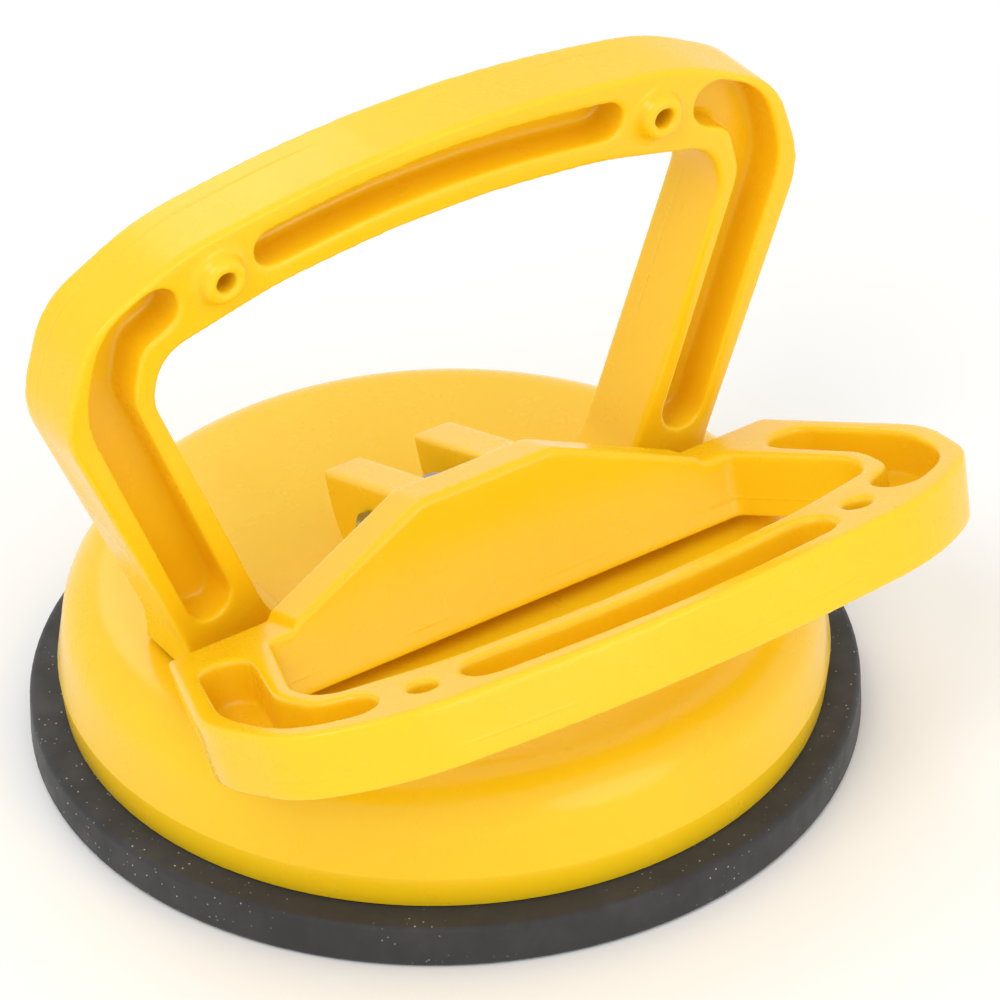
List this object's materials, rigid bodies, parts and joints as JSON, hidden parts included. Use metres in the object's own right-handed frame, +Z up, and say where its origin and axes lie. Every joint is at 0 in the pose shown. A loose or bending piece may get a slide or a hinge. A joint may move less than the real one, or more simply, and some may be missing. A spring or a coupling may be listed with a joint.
{
  "type": "vacuum suction cup lifter",
  "caption": "Hand vacuum lifter with a round rubber pad, a domed body, an upright loop handle and a cam lever that folds up against the handle to draw the pad's middle up.",
  "frame": {"origin": "centre of the rubber pad's underside, on the plane of its sealing lip", "axes": "+Z up along the stem, X along the lever's hinge pin, -Y towards the open lever"},
  "size_m": [0.1182, 0.1212, 0.0962],
  "materials": {
    "yellow_dome_plastic": "gloss moulded yellow plastic",
    "yellow_handle_plastic": "gloss moulded yellow plastic",
    "yellow_lever_plastic": "gloss moulded yellow plastic",
    "grey_rubber": "matt dark grey rubber",
    "zinc_plated_steel": "zinc plated",
    "bright_steel": "bright turned steel"
  },
  "bodies": {
    "lifter_body": {"rubber_pad": "grey_rubber", "dome": "yellow_dome_plastic", "wear_plate": "zinc_plated_steel", "handle": "yellow_handle_plastic", "handle_screw_outer_left": "zinc_plated_steel", "handle_screw_inner_left": "zinc_plated_steel", "handle_screw_inner_right": "zinc_plated_steel", "handle_screw_outer_right": "zinc_plated_steel", "washer_outer_left": "zinc_plated_steel", "washer_inner_left": "zinc_plated_steel", "washer_inner_right": "zinc_plated_steel", "washer_outer_right": "zinc_plated_steel"},
    "stem_set": {"stem": "bright_steel", "pad_insert_disc": "zinc_plated_steel", "hinge_pin": "bright_steel", "retaining_ring_left": "bright_steel", "retaining_ring_right": "bright_steel"},
    "cam_lever": {"lever": "yellow_lever_plastic"}
  },
  "joints": [
    {"name": "stem_slide", "type": "slide", "parent": "lifter_body", "child": "stem_set", "axis": [0, 0, 1], "range_m": [0, 0.002]},
    {"name": "lever_hinge", "type": "hinge", "parent": "stem_set", "child": "cam_lever", "pos_m": [0, 0, 0.03428], "axis": [-1, 0, 0], "range_deg": [0, 67.5]}
  ],
  "couplings": [
    {"joint": "stem_slide", "follows": "lever_hinge", "m_per_rad": 0.001697}
  ]
}
